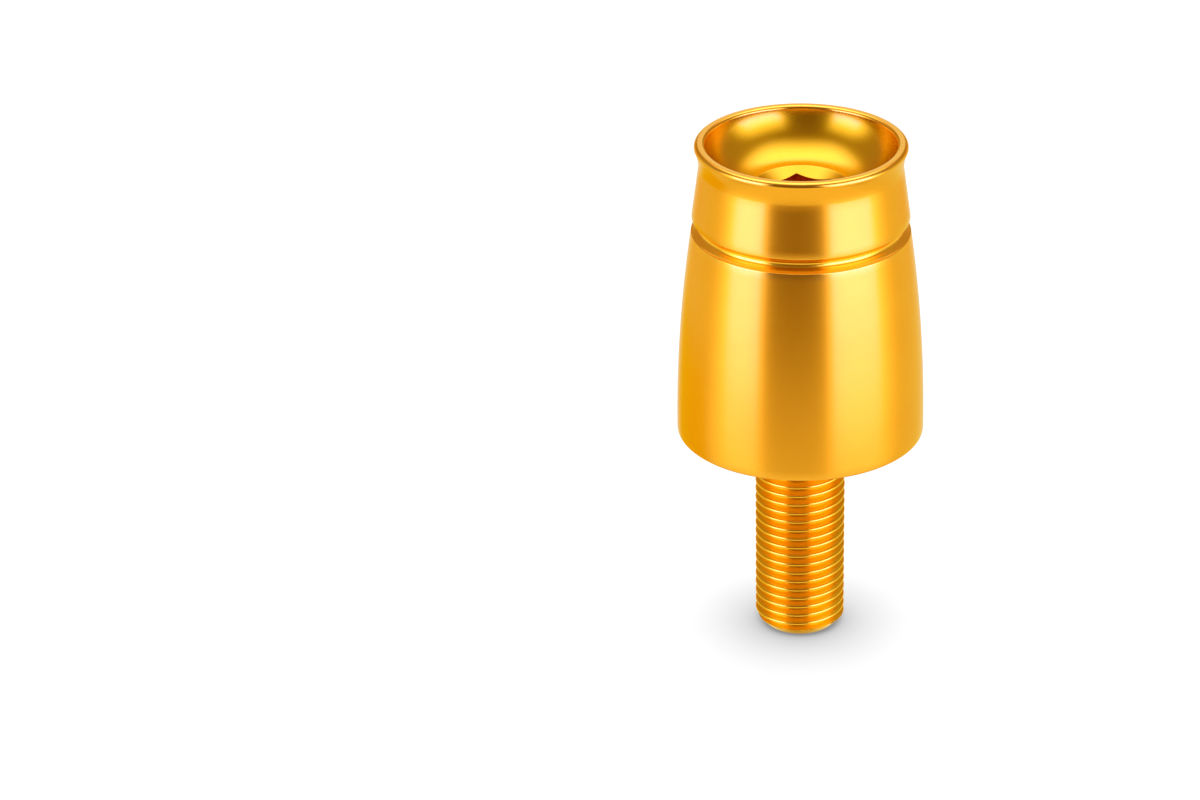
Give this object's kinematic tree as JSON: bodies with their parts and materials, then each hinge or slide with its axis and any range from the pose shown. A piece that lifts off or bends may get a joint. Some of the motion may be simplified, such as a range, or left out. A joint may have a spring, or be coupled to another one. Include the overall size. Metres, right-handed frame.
{
  "type": "bar end weight",
  "caption": "Turned anodised weight for a handlebar end, with a grooved barrel body, a flared dished cap with a hex socket, and a threaded stud.",
  "frame": {"origin": "centre of the stud's flat end, the lowest point of the part as it stands", "axes": "+Z along the turning axis from the stud to the dished cap; two flats of the hex socket face +X and -X"},
  "size_m": [0.038, 0.038, 0.0812],
  "materials": {
    "anodised_aluminium": "satin gold-orange anodised, turned"
  },
  "bodies": {
    "root": {"bar_end_weight": "anodised_aluminium"}
  },
  "joints": []
}
